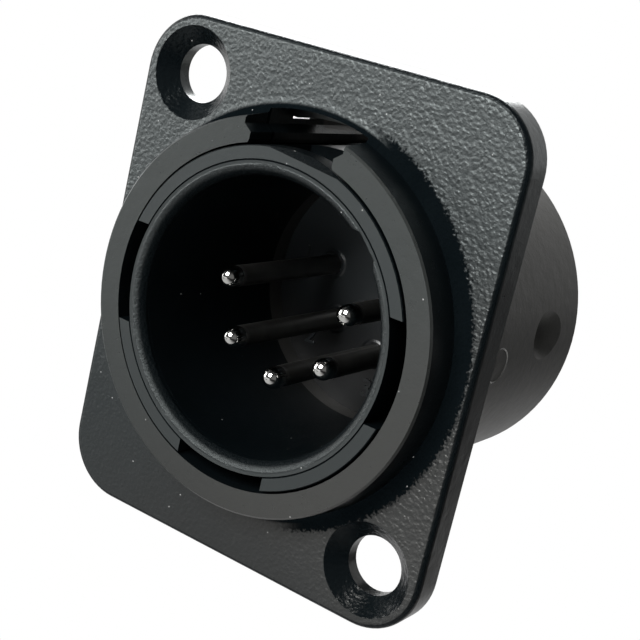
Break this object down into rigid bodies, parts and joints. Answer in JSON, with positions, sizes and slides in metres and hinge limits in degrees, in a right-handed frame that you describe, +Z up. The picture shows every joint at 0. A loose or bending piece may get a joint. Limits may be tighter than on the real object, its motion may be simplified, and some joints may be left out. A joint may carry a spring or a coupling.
{
  "type": "xlr panel connector",
  "caption": "Black die cast panel connector with a rectangular screw flange, a round keyed cup with pins, a latch slot at the top and rear solder cups.",
  "frame": {"origin": "on the connector's axis, in the flange's rear face that lies on the panel", "axes": "-Y out of the cup's mouth towards the user, +Z up through the latch slot, +X to the right as seen from the front"},
  "size_m": [0.026, 0.0266, 0.031],
  "materials": {
    "cast_black": "satin black coat over die cast zinc, orange peel texture on the flange's front",
    "insulator_black": "moulded plastic",
    "contact_silver": "silver plated brass",
    "strip_tinned": "tinned strip"
  },
  "bodies": {
    "root": {"front_shell": "cast_black", "cup_barrel": "cast_black", "front_insulator": "insulator_black", "rear_insulator": "insulator_black", "contact_pin_1": "contact_silver", "contact_pin_2": "contact_silver", "contact_pin_3": "contact_silver", "contact_pin_4": "contact_silver", "contact_pin_5": "contact_silver", "earth_contact": "strip_tinned"}
  },
  "joints": []
}
